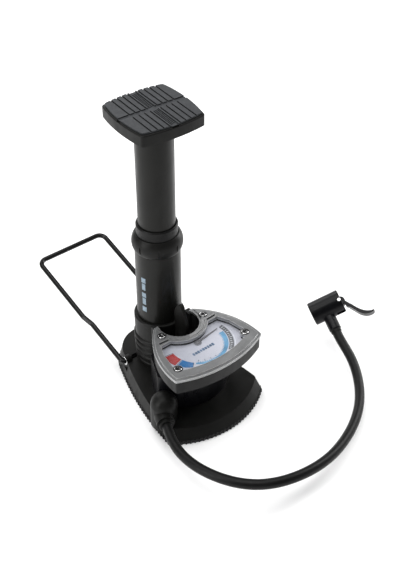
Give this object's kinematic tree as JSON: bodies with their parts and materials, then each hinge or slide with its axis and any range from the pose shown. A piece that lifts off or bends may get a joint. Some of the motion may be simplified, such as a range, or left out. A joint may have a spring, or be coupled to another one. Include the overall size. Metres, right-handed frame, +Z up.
{
  "type": "floor bike pump",
  "caption": "Upright floor pump: square pad on a sliding tube, wide foot with a shield-shaped gauge, folding wire stirrup, hose and lever-lock head.",
  "frame": {"origin": "on the floor, under the barrel's axis", "axes": "+Z up along the barrel, -Y towards the gauge and hose, +X to the right as seen from the gauge side"},
  "size_m": [0.3019, 0.4282, 0.345],
  "materials": {
    "black_plastic": "fine moulded texture",
    "gloss_black": "smooth moulded",
    "grey_plastic": "fine moulded texture",
    "silver_plastic": "silver paint, satin",
    "rubber": "matt",
    "pad_rubber": "matt, grooved",
    "painted_tube": "satin black paint",
    "painted_wire": "semi-gloss black paint",
    "steel": "zinc plated",
    "chrome": "bright",
    "brass": "machined",
    "clear": "clear window",
    "dial_print": "printed scale with red and blue zones",
    "needle_paint": "painted",
    "white_plastic": "natural"
  },
  "bodies": {
    "frame": {"base_sole": "rubber", "sole_screws": "steel", "base_shell": "black_plastic", "ribbed_neck": "black_plastic", "barrel_sleeve": "black_plastic", "barrel": "painted_tube", "collar_nut": "black_plastic", "wiper_ring": "rubber", "return_spring": "steel", "valve_block": "white_plastic", "check_spring": "steel", "air_pipe": "brass", "manifold": "brass", "gauge_stem": "brass", "hub_housing": "gloss_black", "gauge_housing": "grey_plastic", "gauge_bezel": "silver_plastic", "bezel_screws": "chrome", "gauge_lens": "clear", "gauge_dial": "dial_print", "gauge_movement": "brass", "head_clip": "black_plastic", "hose_elbow": "brass", "hose_boot": "black_plastic", "hose_ferrule": "black_plastic", "hose": "rubber", "head_body": "gloss_black", "head_collar": "black_plastic", "head_cap": "gloss_black", "head_gasket": "rubber", "lever_pin": "chrome"},
    "guide": {"guide_bush": "white_plastic"},
    "plunger": {"plunger_tube": "painted_tube", "piston": "white_plastic", "piston_seal": "rubber", "pedal_tray": "black_plastic", "pedal_pad": "pad_rubber", "tube_plug": "white_plastic", "pedal_screw": "steel"},
    "stirrup": {"wire_stirrup": "painted_wire", "stirrup_clips": "chrome"},
    "needle": {"gauge_needle": "needle_paint"},
    "lever": {"head_lever": "gloss_black"},
    "pusher": {"head_pusher": "white_plastic"},
    "check": {"check_ball": "steel"}
  },
  "joints": [
    {"name": "plunger_turn", "type": "hinge", "parent": "frame", "child": "guide", "pos_m": [0, 0, 0.175], "axis": [0, 0, 1], "continuous": true},
    {"name": "plunger_slide", "type": "slide", "parent": "guide", "child": "plunger", "axis": [0, 0, 1], "range_m": [-0.11, 0], "stiffness_N_per_m": 250, "springref_m": 0.06, "deforming": ["return_spring"]},
    {"name": "stirrup_fold", "type": "hinge", "parent": "frame", "child": "stirrup", "pos_m": [0, 0.0156, 0.0227], "axis": [1, 0, 0], "range_deg": [-21, 66]},
    {"name": "needle_turn", "type": "hinge", "parent": "frame", "child": "needle", "pos_m": [0, -0.068, 0.0881], "axis": [0, 0, 1], "range_deg": [-192, 0]},
    {"name": "lever_throw", "type": "hinge", "parent": "frame", "child": "lever", "pos_m": [0.19562, -0.09259, 0.05577], "axis": [-0.5249, -0.225, 0.8209], "range_deg": [0, 90]},
    {"name": "pusher_slide", "type": "slide", "parent": "frame", "child": "pusher", "axis": [-0.815, 0.4108, -0.4086], "range_m": [0, 0.0015]},
    {"name": "check_lift", "type": "slide", "parent": "frame", "child": "check", "axis": [0, 0, -1], "range_m": [0, 0.0015], "deforming": ["check_spring"]}
  ],
  "couplings": [
    {"joint": "pusher_slide", "follows": "lever_throw", "m_per_rad": 0.00095}
  ]
}
